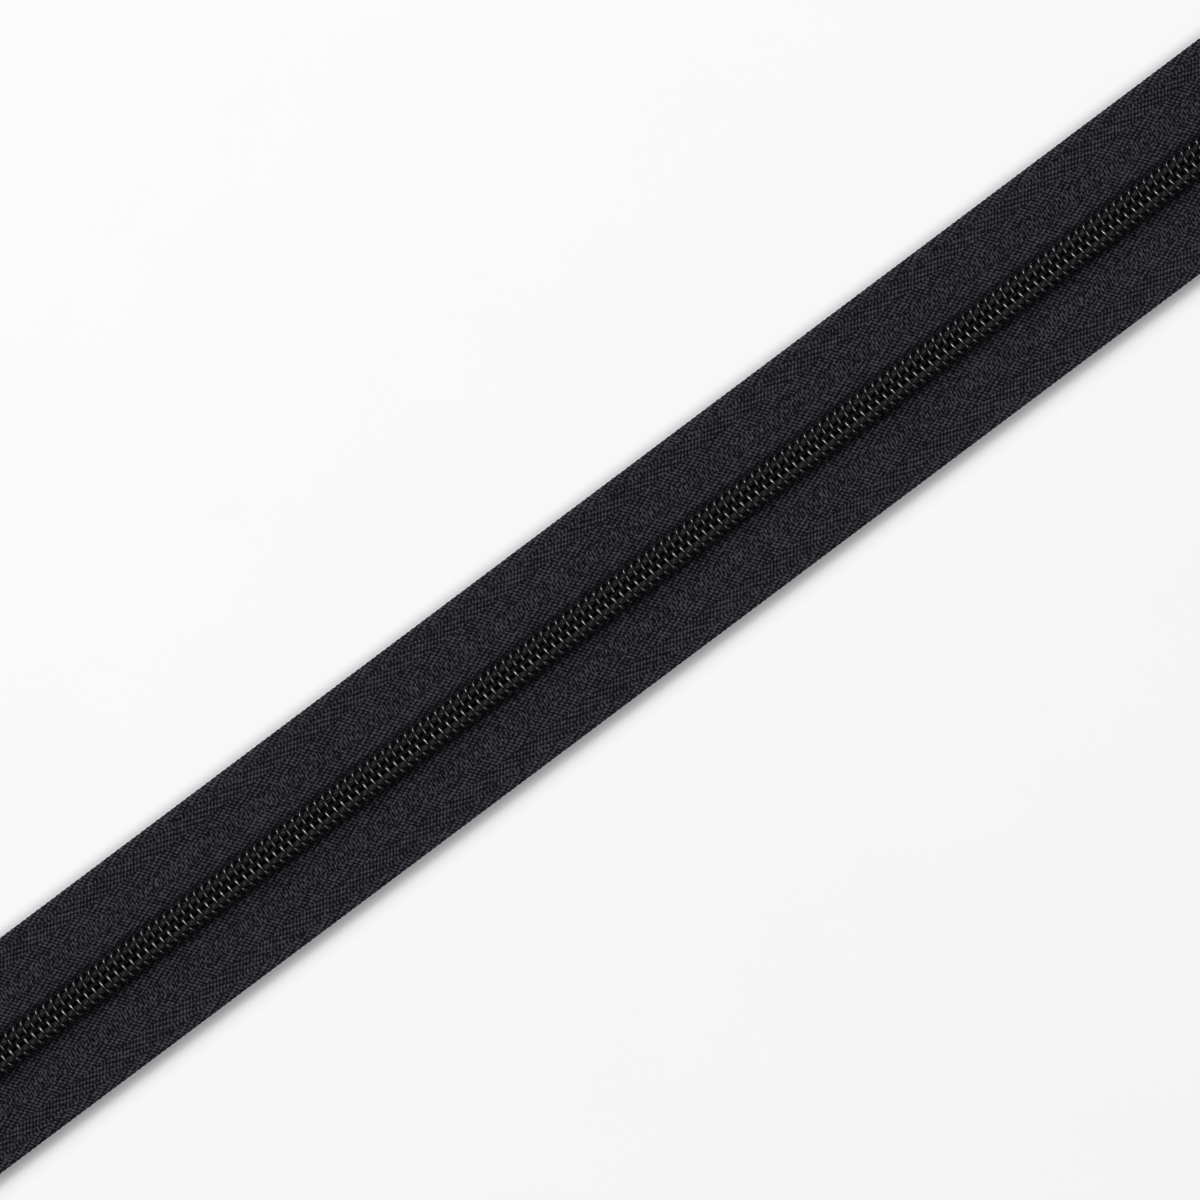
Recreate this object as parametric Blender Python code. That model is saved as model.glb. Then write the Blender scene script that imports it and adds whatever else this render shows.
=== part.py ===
# Nylon coil zipper, closed, lying coil side up on the surface at z = 0.
# X runs along the chain to its top end, Y across it with the left stringer at +Y, and Z up.
import math

import bmesh
import bpy
import numpy as np

MM = 0.001

# Tapes
FINISHED_LENGTH = 300 * MM  # foot of the bottom stop to the front of the closed slider
TAIL_LENGTH = 22 * MM  # bare tape past each end of the finished length
CHAIN_WIDTH = 32 * MM  # over both tapes
TAPE_GAP = 0.5 * MM  # between the inner edges of the tapes
TAPE_THICKNESS = 0.55 * MM
SEWING_BAND = 8.5 * MM  # bare outer part of each tape, clear of the slider
GUTTER_WIDTH = 0.5 * MM  # woven gutter between that band and the rest, on both faces
GUTTER_DEPTH = 0.1 * MM
TOP_SPREAD = 4.2 * MM  # how far each stringer is parted, long after the slider's wedge
TOP_RUN = 11 * MM  # length over which it parts by half of that
TAIL_SPREAD = 0.9 * MM  # the same, below the bottom stop
TAIL_RUN = 14 * MM
SPREAD_STEP = 2 * MM  # spacing of the sections where the stringers part

# Coils: one wire each, wound into loops with a swollen head
PITCH = 1.6 * MM
WIRE = 0.66 * MM
HEAD_CLEARANCE = 0.04 * MM  # head to the two loops that it locks between
COIL_HEIGHT = 2.4 * MM
COIL_REACH = 2.93 * MM  # centre line to the outside of the heels
HEAD_REACH = 0.68 * MM  # how far the heads pass the centre line
HEAD_TURN = 0.70 * MM  # width of the round of a head
LEG_LEAN = 0.48 * MM  # advance along the chain from an upper leg's head to its heel
HEEL_DROP = 0.06 * MM  # fall of an upper leg to its heel
COIL_SEAT = 0.04 * MM  # wire to tape

# Core cords and sewing threads
CORD_WIDTH = 1.24 * MM
CORD_ROOM = 0.06 * MM  # cord and seam to the legs over and under them
CORD_SIDES = 8
CORD_CLEARANCE = 0.15 * MM  # cord to the inside of the heels
THREAD = 0.22 * MM
THREAD_SIDES = 4
THREAD_SEAT = 0.03 * MM  # thread to what it is sewn on

# Slider
SLIDER_LENGTH = 10.8 * MM
WING = 0.95 * MM  # thickness of the upper and the lower wing
CHANNEL_CLEARANCE = 0.28 * MM  # above and below what runs through the slider
SIDE_CLEARANCE = 0.28 * MM  # heels to flanges
FLANGE = 0.68 * MM
FLANGE_GAP = 0.35 * MM  # flanges to the tapes
MEETING_POINT = 1.0 * MM  # from the rear of the slider to where the stringers start to part
WEDGE_CLEARANCE = 0.25 * MM  # heads to wedge
WEDGE_NOSE = 0.5 * MM  # how far the wedge's point is blunted
WEDGE_SETBACK = 0.4 * MM  # front of the slider to the wedge
WING_CORNER = 1.3 * MM
WING_EDGE = 0.25 * MM
GUIDE_STEPS = 8

# Pull
PULL_LENGTH = 24 * MM  # cross bar to the free end
PULL_THICKNESS = 1.1 * MM
PULL_BAR = 0.95 * MM  # round cross bar
PULL_HEEL = 0.05 * MM  # legs past the bar
BAR_SIDES = 16
PULL_LEG = 1.0 * MM  # each side of the opening
PULL_BRIDGE = 1.3 * MM  # past the opening
PULL_WAIST = 4.4 * MM
PULL_GRIP = 5.8 * MM
PULL_EDGE = 0.2 * MM
PULL_CLEARANCE = 0.30 * MM  # pull to wing, crown and spring

# Crown and lock spring
CROWN_LENGTH = 8.1 * MM
CROWN_WIDTH = 3.6 * MM
CROWN_WALL = 0.45 * MM
CROWN_ROUND = 1.1 * MM
CROWN_SEAT = 0.05 * MM
SPRING_WIDTH = 2.0 * MM
SPRING_THICKNESS = 0.35 * MM
SPRING_SEAT_LENGTH = 1.2 * MM
SPRING_LIFT = 0.75 * MM  # travel of the claw
SPRING_ROOM = 0.15 * MM  # left over the lifted spring
SPRING_SEAT_GAP = 0.08 * MM
CLAW_SETBACK = 2.1 * MM  # cross bar to claw
CLAW_THICKNESS = 0.5 * MM
CLAW_WIDTH = 0.38 * MM  # the tip, which reaches between two loops
CLAW_LINE = 0.81 * MM  # centre line to the tip
CLAW_DEPTH = 0.35 * MM  # reach of the tip below the coil's top
CLAW_SLOT = 0.25 * MM  # round the claw where it passes the wing

# Stops
STOP_METAL = 0.5 * MM
STOP_CLEARANCE = 0.10 * MM
STOP_EDGE = 0.12 * MM
BOTTOM_STOP_LENGTH = 4.2 * MM
BOTTOM_STOP_FOOT = 2.2 * MM  # width of each clinched foot
TOP_STOP_LENGTH = 3.0 * MM
TOP_STOP_GAP = 0.8 * MM  # slider to top stops
COIL_END = 0.5 * MM  # coil ends inside the stops

# Heights, from the underside of the slider upwards
HALF_WIRE = WIRE / 2
HEAD_SWELL = PITCH - 2 * WIRE - 2 * HEAD_CLEARANCE  # added to the wire's width at the head
LEG_ROOM = COIL_HEIGHT - 2 * (WIRE + HEEL_DROP + CORD_ROOM)  # height for cord and seam inside the loops
CORD_HEIGHT = LEG_ROOM - THREAD - THREAD_SEAT
LOOPER_BOTTOM = WING + CHANNEL_CLEARANCE
TAPE_BOTTOM = LOOPER_BOTTOM + THREAD + THREAD_SEAT
TAPE_TOP = TAPE_BOTTOM + TAPE_THICKNESS
COIL_LOW = TAPE_TOP + COIL_SEAT + HALF_WIRE
COIL_HIGH = COIL_LOW + COIL_HEIGHT - WIRE
COIL_MIDDLE = (COIL_LOW + COIL_HIGH) / 2
COIL_TOP = COIL_HIGH + HALF_WIRE
CORD_BOTTOM = COIL_LOW + HALF_WIRE + HEEL_DROP + CORD_ROOM
NEEDLE_BOTTOM = CORD_BOTTOM + CORD_HEIGHT + THREAD_SEAT
CHANNEL_ROOF = COIL_TOP + CHANNEL_CLEARANCE
WING_TOP = CHANNEL_ROOF + WING
BAR_HEIGHT = WING_TOP + PULL_CLEARANCE + PULL_THICKNESS / 2
SPRING_BOTTOM = BAR_HEIGHT + PULL_THICKNESS / 2 + PULL_CLEARANCE
CROWN_ROOF = SPRING_BOTTOM + SPRING_THICKNESS + SPRING_LIFT + SPRING_ROOM

# Places along the chain
SLIDER_FRONT = FINISHED_LENGTH / 2
SLIDER_REAR = SLIDER_FRONT - SLIDER_LENGTH
MEETING_X = SLIDER_REAR + MEETING_POINT
CROWN_X = SLIDER_LENGTH / 2  # from the slider's rear, as is the next
CLAW_X = CROWN_X - CLAW_SETBACK
STOP_FOOT_X = -FINISHED_LENGTH / 2
TOP_STOP_X = SLIDER_FRONT + TOP_STOP_GAP
TAPE_END_X = FINISHED_LENGTH / 2 + TAIL_LENGTH

# Lines of a stringer, outwards from the centre line
TAPE_EDGE = CHAIN_WIDTH / 2
TAPE_SEAM_EDGE = TAPE_EDGE - SEWING_BAND
HEAD_LINE = HALF_WIRE - HEAD_REACH
SHOULDER_LINE = HEAD_LINE + HEAD_TURN
HEEL_LINE = COIL_REACH - HALF_WIRE
CORD_LINE = HEEL_LINE - HALF_WIRE - CORD_CLEARANCE - CORD_WIDTH / 2

LEFT = 1
RIGHT = -1


def clear_scene():
    for obj in list(bpy.data.objects):
        bpy.data.objects.remove(obj, do_unlink=True)


def material(name, colour, roughness, metallic=0.0):
    mat = bpy.data.materials.new(name)
    mat.use_nodes = True
    shader = mat.node_tree.nodes["Principled BSDF"]
    shader.inputs["Base Color"].default_value = (*colour, 1)
    shader.inputs["Roughness"].default_value = roughness
    shader.inputs["Metallic"].default_value = metallic
    return mat


def add(name, bm, mat, parent=None, place=(0, 0, 0)):
    mesh = bpy.data.meshes.new(name)
    bmesh.ops.recalc_face_normals(bm, faces=bm.faces)
    bm.to_mesh(mesh)
    bm.free()
    mesh.materials.append(mat)
    obj = bpy.data.objects.new(name, mesh)
    obj.parent = parent
    obj.location = place
    bpy.context.scene.collection.objects.link(obj)
    return obj


def add_empty(name, place, parent=None):
    empty = bpy.data.objects.new(name, None)
    empty.parent = parent
    empty.location = place
    bpy.context.scene.collection.objects.link(empty)
    return empty


def combine(obj, operation, bm, edge=0.0):
    # Boolean with a hidden shape in the same frame, with its own edges rounded first
    tool = add(f"{obj.name}_{operation.lower()}_{len(obj.modifiers)}", bm, obj.data.materials[0])
    tool.parent = obj.parent
    tool.location = obj.location
    tool.hide_render = True
    tool.display_type = "WIRE"
    if edge:
        round_edges(tool, edge)
    modifier = obj.modifiers.new(operation.title(), "BOOLEAN")
    modifier.operation = operation
    modifier.object = tool


def round_edges(obj, width, segments=2):
    modifier = obj.modifiers.new("Edges", "BEVEL")
    modifier.width = width
    modifier.segments = segments
    modifier.limit_method = "ANGLE"
    modifier.angle_limit = math.radians(50)


def shade_round(obj):
    obj.data.shade_smooth()
    obj.data.set_sharp_from_angle(angle=math.radians(40))


def loft(rings):
    # Skin over successive rings of points, with a cap at each end
    bm = bmesh.new()
    loops = [[bm.verts.new(point) for point in ring] for ring in rings]
    for near, far in zip(loops, loops[1:]):
        for i, vert in enumerate(near):
            bm.faces.new((near[i - 1], vert, far[i], far[i - 1]))
    bm.faces.new(loops[0])
    bm.faces.new(loops[-1])
    return bm


def prism(outline, bottom, top):
    return loft([[(x, y, z) for x, y in outline] for z in (bottom, top)])


def block(low, high):
    (x0, y0, z0), (x1, y1, z1) = low, high
    return prism([(x0, y0), (x1, y0), (x1, y1), (x0, y1)], z0, z1)


def fillet(outline, radius, steps=3):
    # Each corner of a closed outline that turns sharply becomes an arc
    result = []
    for i, corner in enumerate(outline):
        here = np.array(corner)
        back = np.array(outline[i - 1]) - here
        ahead = np.array(outline[(i + 1) % len(outline)]) - here
        back_length = np.linalg.norm(back)
        ahead_length = np.linalg.norm(ahead)
        back /= back_length
        ahead /= ahead_length
        half = math.acos(max(-1.0, min(1.0, float(back @ ahead)))) / 2
        if half > math.radians(75):
            result.append(corner)
            continue
        reach = min(radius / math.tan(half), 0.45 * back_length, 0.45 * ahead_length)
        middle = (back + ahead) / np.linalg.norm(back + ahead) * reach / math.cos(half)
        for turn in np.linspace(0, 1, steps + 1):
            spoke = (back * (1 - turn) + ahead * turn) * reach - middle
            spoke *= reach * math.tan(half) / np.linalg.norm(spoke)
            result.append(tuple(here + middle + spoke))
    return result


def mirrored(side):
    # Closed outline from its +Y side, listed along X
    return side + [(x, -y) for x, y in reversed(side) if y > 0]


def parting(run, width, length):
    run = max(run, 0.0)
    return width * run**2 / (run**2 + length**2)


def spread(x):
    # Sideways shift of each stringer: parted by the wedge at the top, slightly open below the stop
    top = parting(x - MEETING_X, TOP_SPREAD, TOP_RUN)
    return top + parting(STOP_FOOT_X - x, TAIL_SPREAD, TAIL_RUN)


def stations(start, end):
    # Sections along a stringer: its ends, and steps where it parts
    steps_top = math.ceil((TAPE_END_X - MEETING_X) / SPREAD_STEP)
    steps_bottom = math.ceil(TAIL_LENGTH / SPREAD_STEP)
    parted = list(np.linspace(-TAPE_END_X, STOP_FOOT_X, steps_bottom + 1))
    parted += list(np.linspace(MEETING_X, TAPE_END_X, steps_top + 1))
    inside = [x for x in parted if start + WIRE < x < end - WIRE]
    return [start] + inside + [end]


def strip(side, profile, start, end):
    # A profile of (distance from the centre line, height) carried along one stringer
    return loft([[(x, side * (spread(x) + v), z) for v, z in profile] for x in stations(start, end)])


def ellipse(v, z, width, height, sides):
    turns = [2 * math.pi * i / sides for i in range(sides)]
    return [(v + width / 2 * math.cos(a), z + height / 2 * math.sin(a)) for a in turns]


def tape(side, name, mat):
    near = TAPE_SEAM_EDGE - GUTTER_WIDTH / 2
    far = TAPE_SEAM_EDGE + GUTTER_WIDTH / 2
    profile = [
        (TAPE_GAP / 2, TAPE_BOTTOM),
        (near, TAPE_BOTTOM),
        (TAPE_SEAM_EDGE, TAPE_BOTTOM + GUTTER_DEPTH),
        (far, TAPE_BOTTOM),
        (TAPE_EDGE, TAPE_BOTTOM),
        (TAPE_EDGE, TAPE_TOP),
        (far, TAPE_TOP),
        (TAPE_SEAM_EDGE, TAPE_TOP - GUTTER_DEPTH),
        (near, TAPE_TOP),
        (TAPE_GAP / 2, TAPE_TOP),
    ]
    obj = add(name, strip(side, profile, -TAPE_END_X, TAPE_END_X), mat)
    # The leg of the bottom stop passes through a slot
    inner = COIL_REACH + STOP_CLEARANCE
    outer = inner + STOP_METAL + 2 * STOP_CLEARANCE
    low = (STOP_FOOT_X - STOP_CLEARANCE, min(side * inner, side * outer), TAPE_BOTTOM - TAPE_THICKNESS)
    high = (
        STOP_FOOT_X + BOTTOM_STOP_LENGTH + STOP_CLEARANCE,
        max(side * inner, side * outer),
        TAPE_TOP + TAPE_THICKNESS,
    )
    combine(obj, "DIFFERENCE", block(low, high))


def leg_lean(v):
    # Advance of an upper leg at a distance from the centre line
    return LEG_LEAN * (v - SHOULDER_LINE) / (HEEL_LINE - SHOULDER_LINE)


def first_loop(side):
    # The closed slider stands where its claw drops between two loops of the left coil
    claw = SLIDER_REAR + CLAW_X
    gap = claw - leg_lean(CLAW_LINE - spread(claw)) - PITCH / 2
    count = math.floor((gap - STOP_FOOT_X - COIL_END) / PITCH)
    return gap - count * PITCH + (PITCH / 2 if side == RIGHT else 0)


def coil_path(side):
    # Centre line of the wire as (x, v, z), with the width of the wire along the chain
    loop = [
        (0.0, SHOULDER_LINE, COIL_LOW, WIRE),
        (0.0, HEAD_LINE, COIL_MIDDLE, WIRE + HEAD_SWELL),
        (0.0, SHOULDER_LINE, COIL_HIGH, WIRE),
        (LEG_LEAN, HEEL_LINE, COIL_HIGH - HEEL_DROP, WIRE),
        (PITCH - LEG_LEAN, HEEL_LINE, COIL_LOW + HEEL_DROP, WIRE),
    ]
    start = first_loop(side)
    count = math.floor((TOP_STOP_X + TOP_STOP_LENGTH - COIL_END - start) / PITCH)
    return [(start + i * PITCH + dx, v, z, width) for i in range(count) for dx, v, z, width in loop]


def coil(side, name, mat):
    path = coil_path(side)
    flat = np.array([(v, z) for _, v, z, _ in path])
    run = np.diff(flat, axis=0)
    run /= np.linalg.norm(run, axis=1)[:, None]
    normal = np.stack([-run[:, 1], run[:, 0]], axis=1)
    before = np.vstack([normal[:1], normal])
    after = np.vstack([normal, normal[-1:]])
    mitre = before + after
    mitre /= np.sum(mitre * before, axis=1)[:, None]
    rings = []
    for (x, v, z, width), (mv, mz) in zip(path, mitre * HALF_WIRE):
        y = spread(x) + v
        rings.append(
            [
                (x, side * (y + mv), z + mz),
                (x + width / 2, side * y, z),
                (x, side * (y - mv), z - mz),
                (x - width / 2, side * y, z),
            ]
        )
    shade_round(add(name, loft(rings), mat))


def least_coil_gap(side):
    # Smallest gap of the wire to itself, on points along its centre line
    path = np.array([(x, side * (spread(x) + v), z) for x, v, z, _ in coil_path(side)])
    steps = 6
    share = np.arange(steps)[:, None] / steps
    points = np.concatenate([a + (b - a) * share for a, b in zip(path, path[1:])])
    loop = 5 * steps
    apart = range(loop // 2, 2 * loop)
    return min(np.linalg.norm(points[k:] - points[:-k], axis=1).min() for k in apart) - WIRE - HEAD_SWELL


def core_cord(side, name, mat, start, end):
    profile = ellipse(CORD_LINE, CORD_BOTTOM + CORD_HEIGHT / 2, CORD_WIDTH, CORD_HEIGHT, CORD_SIDES)
    shade_round(add(name, strip(side, profile, start, end), mat))


def seam_thread(side, name, mat, bottom, start, end):
    profile = ellipse(CORD_LINE, bottom + THREAD / 2, THREAD, THREAD, THREAD_SIDES)
    shade_round(add(name, strip(side, profile, start, end), mat))


def bottom_stop(name, mat):
    # Bent clip over both coils, with legs through the tapes and feet clinched under them
    inner = COIL_REACH + 2 * STOP_CLEARANCE
    outer = inner + STOP_METAL
    foot = outer - BOTTOM_STOP_FOOT
    roof = COIL_TOP + STOP_CLEARANCE
    floor = LOOPER_BOTTOM - STOP_CLEARANCE
    half = [
        (foot, floor),
        (inner, floor),
        (inner, roof),
        (-inner, roof),
        (-inner, floor),
        (-foot, floor),
        (-foot, floor - STOP_METAL),
        (-outer, floor - STOP_METAL),
        (-outer, roof + STOP_METAL),
        (outer, roof + STOP_METAL),
        (outer, floor - STOP_METAL),
        (foot, floor - STOP_METAL),
    ]
    ends = (STOP_FOOT_X, STOP_FOOT_X + BOTTOM_STOP_LENGTH)
    round_edges(add(name, loft([[(x, y, z) for y, z in half] for x in ends]), mat), STOP_EDGE, 1)


def top_stop(side, name, mat):
    # Clip closed round one coil and the edge of its tape, open towards the tape
    inner = -HEAD_REACH - STOP_CLEARANCE
    lip = COIL_REACH + 2 * STOP_CLEARANCE
    roof = COIL_TOP + STOP_CLEARANCE
    floor = LOOPER_BOTTOM - STOP_CLEARANCE
    profile = [
        (inner, floor),
        (inner, roof),
        (lip, roof),
        (lip, TAPE_TOP + STOP_CLEARANCE),
        (lip + STOP_METAL, TAPE_TOP + STOP_CLEARANCE),
        (lip + STOP_METAL, roof + STOP_METAL),
        (inner - STOP_METAL, roof + STOP_METAL),
        (inner - STOP_METAL, floor - STOP_METAL),
        (lip + STOP_METAL, floor - STOP_METAL),
        (lip + STOP_METAL, floor),
    ]
    clip = strip(side, profile, TOP_STOP_X, TOP_STOP_X + TOP_STOP_LENGTH)
    round_edges(add(name, clip, mat), STOP_EDGE, 1)


def guide_outline(margin, start, end):
    # Plan outline at a margin outside the heels, along the slider
    along = np.linspace(start, end, GUIDE_STEPS)
    return mirrored([(u, spread(SLIDER_REAR + u) + COIL_REACH + margin) for u in along])


def wedge_outline():
    # Plan outline that keeps clear of the heads on both sides
    margin = HEAD_REACH + WEDGE_CLEARANCE
    share = margin / TOP_SPREAD
    point = MEETING_POINT + TOP_RUN * math.sqrt(share / (1 - share))
    along = np.linspace(point + WEDGE_NOSE, SLIDER_LENGTH - WEDGE_SETBACK, GUIDE_STEPS)
    return mirrored([(u, spread(SLIDER_REAR + u) - margin) for u in along])


def slider_body(name, mat, carriage):
    plan = fillet(guide_outline(SIDE_CLEARANCE + FLANGE, 0, SLIDER_LENGTH), WING_CORNER)
    channel = guide_outline(SIDE_CLEARANCE, -WING, SLIDER_LENGTH + WING)
    flange_foot = TAPE_TOP + FLANGE_GAP
    obj = add(name, prism(plan, flange_foot, WING_TOP), mat, carriage)
    round_edges(obj, WING_EDGE)
    combine(obj, "DIFFERENCE", prism(channel, flange_foot - WING, CHANNEL_ROOF))
    combine(obj, "UNION", prism(wedge_outline(), WING / 2, CHANNEL_ROOF + WING / 2))
    combine(obj, "UNION", prism(plan, 0, WING), WING_EDGE)
    # Seat that carries the fixed end of the lock spring
    seat_end = spring_front()
    half = SPRING_WIDTH / 2
    low = (seat_end - SPRING_SEAT_LENGTH, -half, WING_TOP - WING / 2)
    combine(obj, "UNION", block(low, (seat_end, half, SPRING_BOTTOM - SPRING_SEAT_GAP)))
    # Slot for the claw, long enough for its swing
    rear = CLAW_X - CLAW_THICKNESS / 2 - SPRING_LIFT - CLAW_SLOT
    front = CLAW_X + CLAW_THICKNESS / 2 + CLAW_SLOT
    reach = half + CLAW_SLOT
    combine(obj, "DIFFERENCE", block((rear, -reach, CHANNEL_ROOF - WING), (front, reach, WING_TOP + WING)))
    shade_round(obj)


def spring_front():
    # Front end of the lock spring, from the slider's rear
    return CROWN_X + CROWN_LENGTH / 2 - CROWN_WALL - PULL_CLEARANCE


def rounded_rectangle(half_length, half_width, radius):
    corners = [(half_length, half_width), (half_length, -half_width)]
    corners += [(-half_length, -half_width), (-half_length, half_width)]
    return fillet(corners, radius)


def dome(length, width, radius, bottom, top, steps=4):
    # Upright walls on a rounded rectangle, closed by a roof with a rounded rim
    rings = [(0.0, bottom)]
    for turn in np.linspace(0, math.pi / 2, steps + 1):
        rings.append((radius * (1 - math.cos(turn)), top - radius * (1 - math.sin(turn))))
    outlines = []
    for inset, z in rings:
        corner = max(radius - inset, radius / 4)
        plan = rounded_rectangle(length / 2 - inset, width / 2 - inset, corner)
        outlines.append([(CROWN_X + x, y, z) for x, y in plan])
    return loft(outlines)


def slider_crown(name, mat, carriage):
    bottom = WING_TOP + CROWN_SEAT
    crown = dome(CROWN_LENGTH, CROWN_WIDTH, CROWN_ROUND, bottom, CROWN_ROOF + CROWN_WALL)
    obj = add(name, crown, mat, carriage)
    inside = dome(
        CROWN_LENGTH - 2 * CROWN_WALL,
        CROWN_WIDTH - 2 * CROWN_WALL,
        CROWN_ROUND - CROWN_WALL,
        bottom - CROWN_WALL,
        CROWN_ROOF,
    )
    combine(obj, "DIFFERENCE", inside)
    # Window through both side walls for the pull's cross bar
    half = PULL_BAR / 2 + PULL_CLEARANCE / 2
    low = (CROWN_X - half, -CROWN_WIDTH, bottom - CROWN_WALL)
    combine(obj, "DIFFERENCE", block(low, (CROWN_X + half, CROWN_WIDTH, BAR_HEIGHT + half)))
    shade_round(obj)


def lock_spring(name, mat, pivot):
    # Leaf from its seat to the claw, in the frame of its fixed front end
    rear = CLAW_X - CLAW_THICKNESS / 2 - spring_front()
    half = SPRING_WIDTH / 2
    claw_foot = COIL_TOP + CHANNEL_CLEARANCE / 2 - SPRING_BOTTOM
    tip = COIL_TOP - CLAW_DEPTH - SPRING_BOTTOM
    side_view = [
        (0.0, 0.0),
        (0.0, SPRING_THICKNESS),
        (rear, SPRING_THICKNESS),
        (rear, claw_foot),
        (rear + CLAW_THICKNESS, claw_foot),
        (rear + CLAW_THICKNESS, 0.0),
    ]
    obj = add(name, loft([[(x, y, z) for x, z in side_view] for y in (-half, half)]), mat, pivot)
    low = (rear, CLAW_LINE - CLAW_WIDTH / 2, tip)
    high = (rear + CLAW_THICKNESS, CLAW_LINE + CLAW_WIDTH / 2, claw_foot + CLAW_THICKNESS)
    combine(obj, "UNION", block(low, high))


def pull_tab(name, mat, pivot):
    # Flat tab with an opening round the crown, in the frame of its cross bar
    opening_end = math.hypot(CROWN_LENGTH / 2, CROWN_ROOF + CROWN_WALL - BAR_HEIGHT) + PULL_CLEARANCE
    opening_half = CROWN_WIDTH / 2 + PULL_CLEARANCE
    head_half = opening_half + PULL_LEG
    head_end = opening_end + PULL_BRIDGE
    rear = -PULL_BAR / 2 - PULL_HEEL
    side = [
        (rear, head_half),
        (head_end, head_half),
        (head_end + PULL_BRIDGE, PULL_WAIST / 2),
        (PULL_LENGTH, PULL_GRIP / 2),
    ]
    plan = fillet(mirrored(side), PULL_BAR, 4)
    obj = add(name, prism(plan, -PULL_THICKNESS / 2, PULL_THICKNESS / 2), mat, pivot)
    round_edges(obj, PULL_EDGE)
    length = opening_end - 2 * rear
    middle = opening_end - length / 2
    hole = [(middle + x, y) for x, y in rounded_rectangle(length / 2, opening_half, PULL_BAR / 2)]
    combine(obj, "DIFFERENCE", prism(hole, -PULL_THICKNESS, PULL_THICKNESS))
    reach = opening_half + PULL_LEG / 2
    ring = ellipse(0, 0, PULL_BAR, PULL_BAR, BAR_SIDES)
    combine(obj, "UNION", loft([[(x, y, z) for x, z in ring] for y in (-reach, reach)]))
    shade_round(obj)


def main():
    clear_scene()
    woven = material("woven_polyester", (0.017, 0.016, 0.019), 0.85)
    nylon = material("nylon_wire", (0.012, 0.012, 0.013), 0.25)
    thread = material("sewing_thread", (0.030, 0.027, 0.026), 0.80)
    filler = material("core_yarn", (0.022, 0.021, 0.022), 0.90)
    lacquer = material("black_lacquer", (0.020, 0.020, 0.022), 0.35, 0.4)
    steel = material("spring_steel", (0.55, 0.55, 0.56), 0.35, 1.0)
    gunmetal = material("gunmetal", (0.09, 0.09, 0.10), 0.40, 1.0)

    coil_start = STOP_FOOT_X + COIL_END
    coil_end = TOP_STOP_X + TOP_STOP_LENGTH - COIL_END
    for side, label in ((LEFT, "left"), (RIGHT, "right")):
        tape(side, f"{label}_tape", woven)
        coil(side, f"{label}_coil", nylon)
        core_cord(side, f"{label}_core_cord", filler, coil_start, coil_end)
        seam_thread(side, f"{label}_needle_thread", thread, NEEDLE_BOTTOM, coil_start, coil_end)
        seam_thread(side, f"{label}_looper_thread", thread, LOOPER_BOTTOM, coil_start, coil_end)
        top_stop(side, f"{label}_top_stop", gunmetal)
        print(f"{label} coil, least gap to itself: {least_coil_gap(side) / MM:.2f} mm")
    bottom_stop("bottom_stop", gunmetal)

    carriage = add_empty("slider_carriage", (SLIDER_REAR, 0, 0))
    slider_body("slider_body", lacquer, carriage)
    slider_crown("slider_crown", lacquer, carriage)
    spring_pivot = add_empty("spring_pivot", (spring_front(), 0, SPRING_BOTTOM), carriage)
    lock_spring("lock_spring", steel, spring_pivot)
    pull_pivot = add_empty("pull_pivot", (CROWN_X, 0, BAR_HEIGHT), carriage)
    pull_tab("pull_tab", lacquer, pull_pivot)


main()
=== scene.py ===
# Nylon coil zipper from above: woven tapes, interlocked coils, cords, seams, stops and a slider
import math

import bmesh
import bpy
import numpy as np
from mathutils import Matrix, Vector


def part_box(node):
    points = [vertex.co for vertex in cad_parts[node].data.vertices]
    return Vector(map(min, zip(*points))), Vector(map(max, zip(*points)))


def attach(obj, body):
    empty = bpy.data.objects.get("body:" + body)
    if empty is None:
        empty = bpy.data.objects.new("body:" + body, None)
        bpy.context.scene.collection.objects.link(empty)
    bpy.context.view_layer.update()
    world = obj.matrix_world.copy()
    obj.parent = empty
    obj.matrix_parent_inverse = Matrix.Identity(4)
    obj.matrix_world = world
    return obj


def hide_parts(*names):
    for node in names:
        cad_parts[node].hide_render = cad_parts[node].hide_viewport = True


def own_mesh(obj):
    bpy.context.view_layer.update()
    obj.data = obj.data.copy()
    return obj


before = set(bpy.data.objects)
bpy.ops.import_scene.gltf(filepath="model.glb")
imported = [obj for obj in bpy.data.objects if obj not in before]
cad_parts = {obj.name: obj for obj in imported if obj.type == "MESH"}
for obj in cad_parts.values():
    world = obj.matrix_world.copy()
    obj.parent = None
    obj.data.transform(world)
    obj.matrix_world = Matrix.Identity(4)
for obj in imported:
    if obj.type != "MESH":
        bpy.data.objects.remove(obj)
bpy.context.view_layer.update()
print("frame loaded:", len(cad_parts), "nodes")

mm = 0.001
tau = 2 * math.pi
sides = {"left": 1, "right": -1}
alongX = np.array([1.0, 0.0, 0.0])
acrossY = np.array([0.0, 1.0, 0.0])


def nodeBox(node):
    # lowest and highest corner of a CAD node, in millimetres
    return [np.array(corner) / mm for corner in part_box(node)]


# Sizes in millimetres that every stringer piece shares
chain = {
    "tapeEnd": nodeBox("left_tape")[1][0],
    "stopFoot": nodeBox("bottom_stop")[0][0],
    "sliderFoot": nodeBox("slider_body")[0][0],
    "wedgeLead": 1.0,  # from the slider's foot to where its wedge starts to part the stringers
    "topSpread": 4.2,
    "topRun": 11.0,
    "tailSpread": 0.9,
    "tailRun": 14.0,
    "coilStart": nodeBox("left_core_cord")[0][0],
    "coilEnd": nodeBox("left_core_cord")[1][0],
    "hinge": 2.0,  # above the bottom stop's foot, where the open stringers swing from
    "openKeep": 0.93,  # share that the squash leaves along its diagonal when the slider is down
}


def parting(run, width, length):
    # width * run^2 / (run^2 + length^2), nothing before the start of the run
    run = np.maximum(run, 0.0)
    return width * run**2 / (run**2 + length**2)


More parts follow.
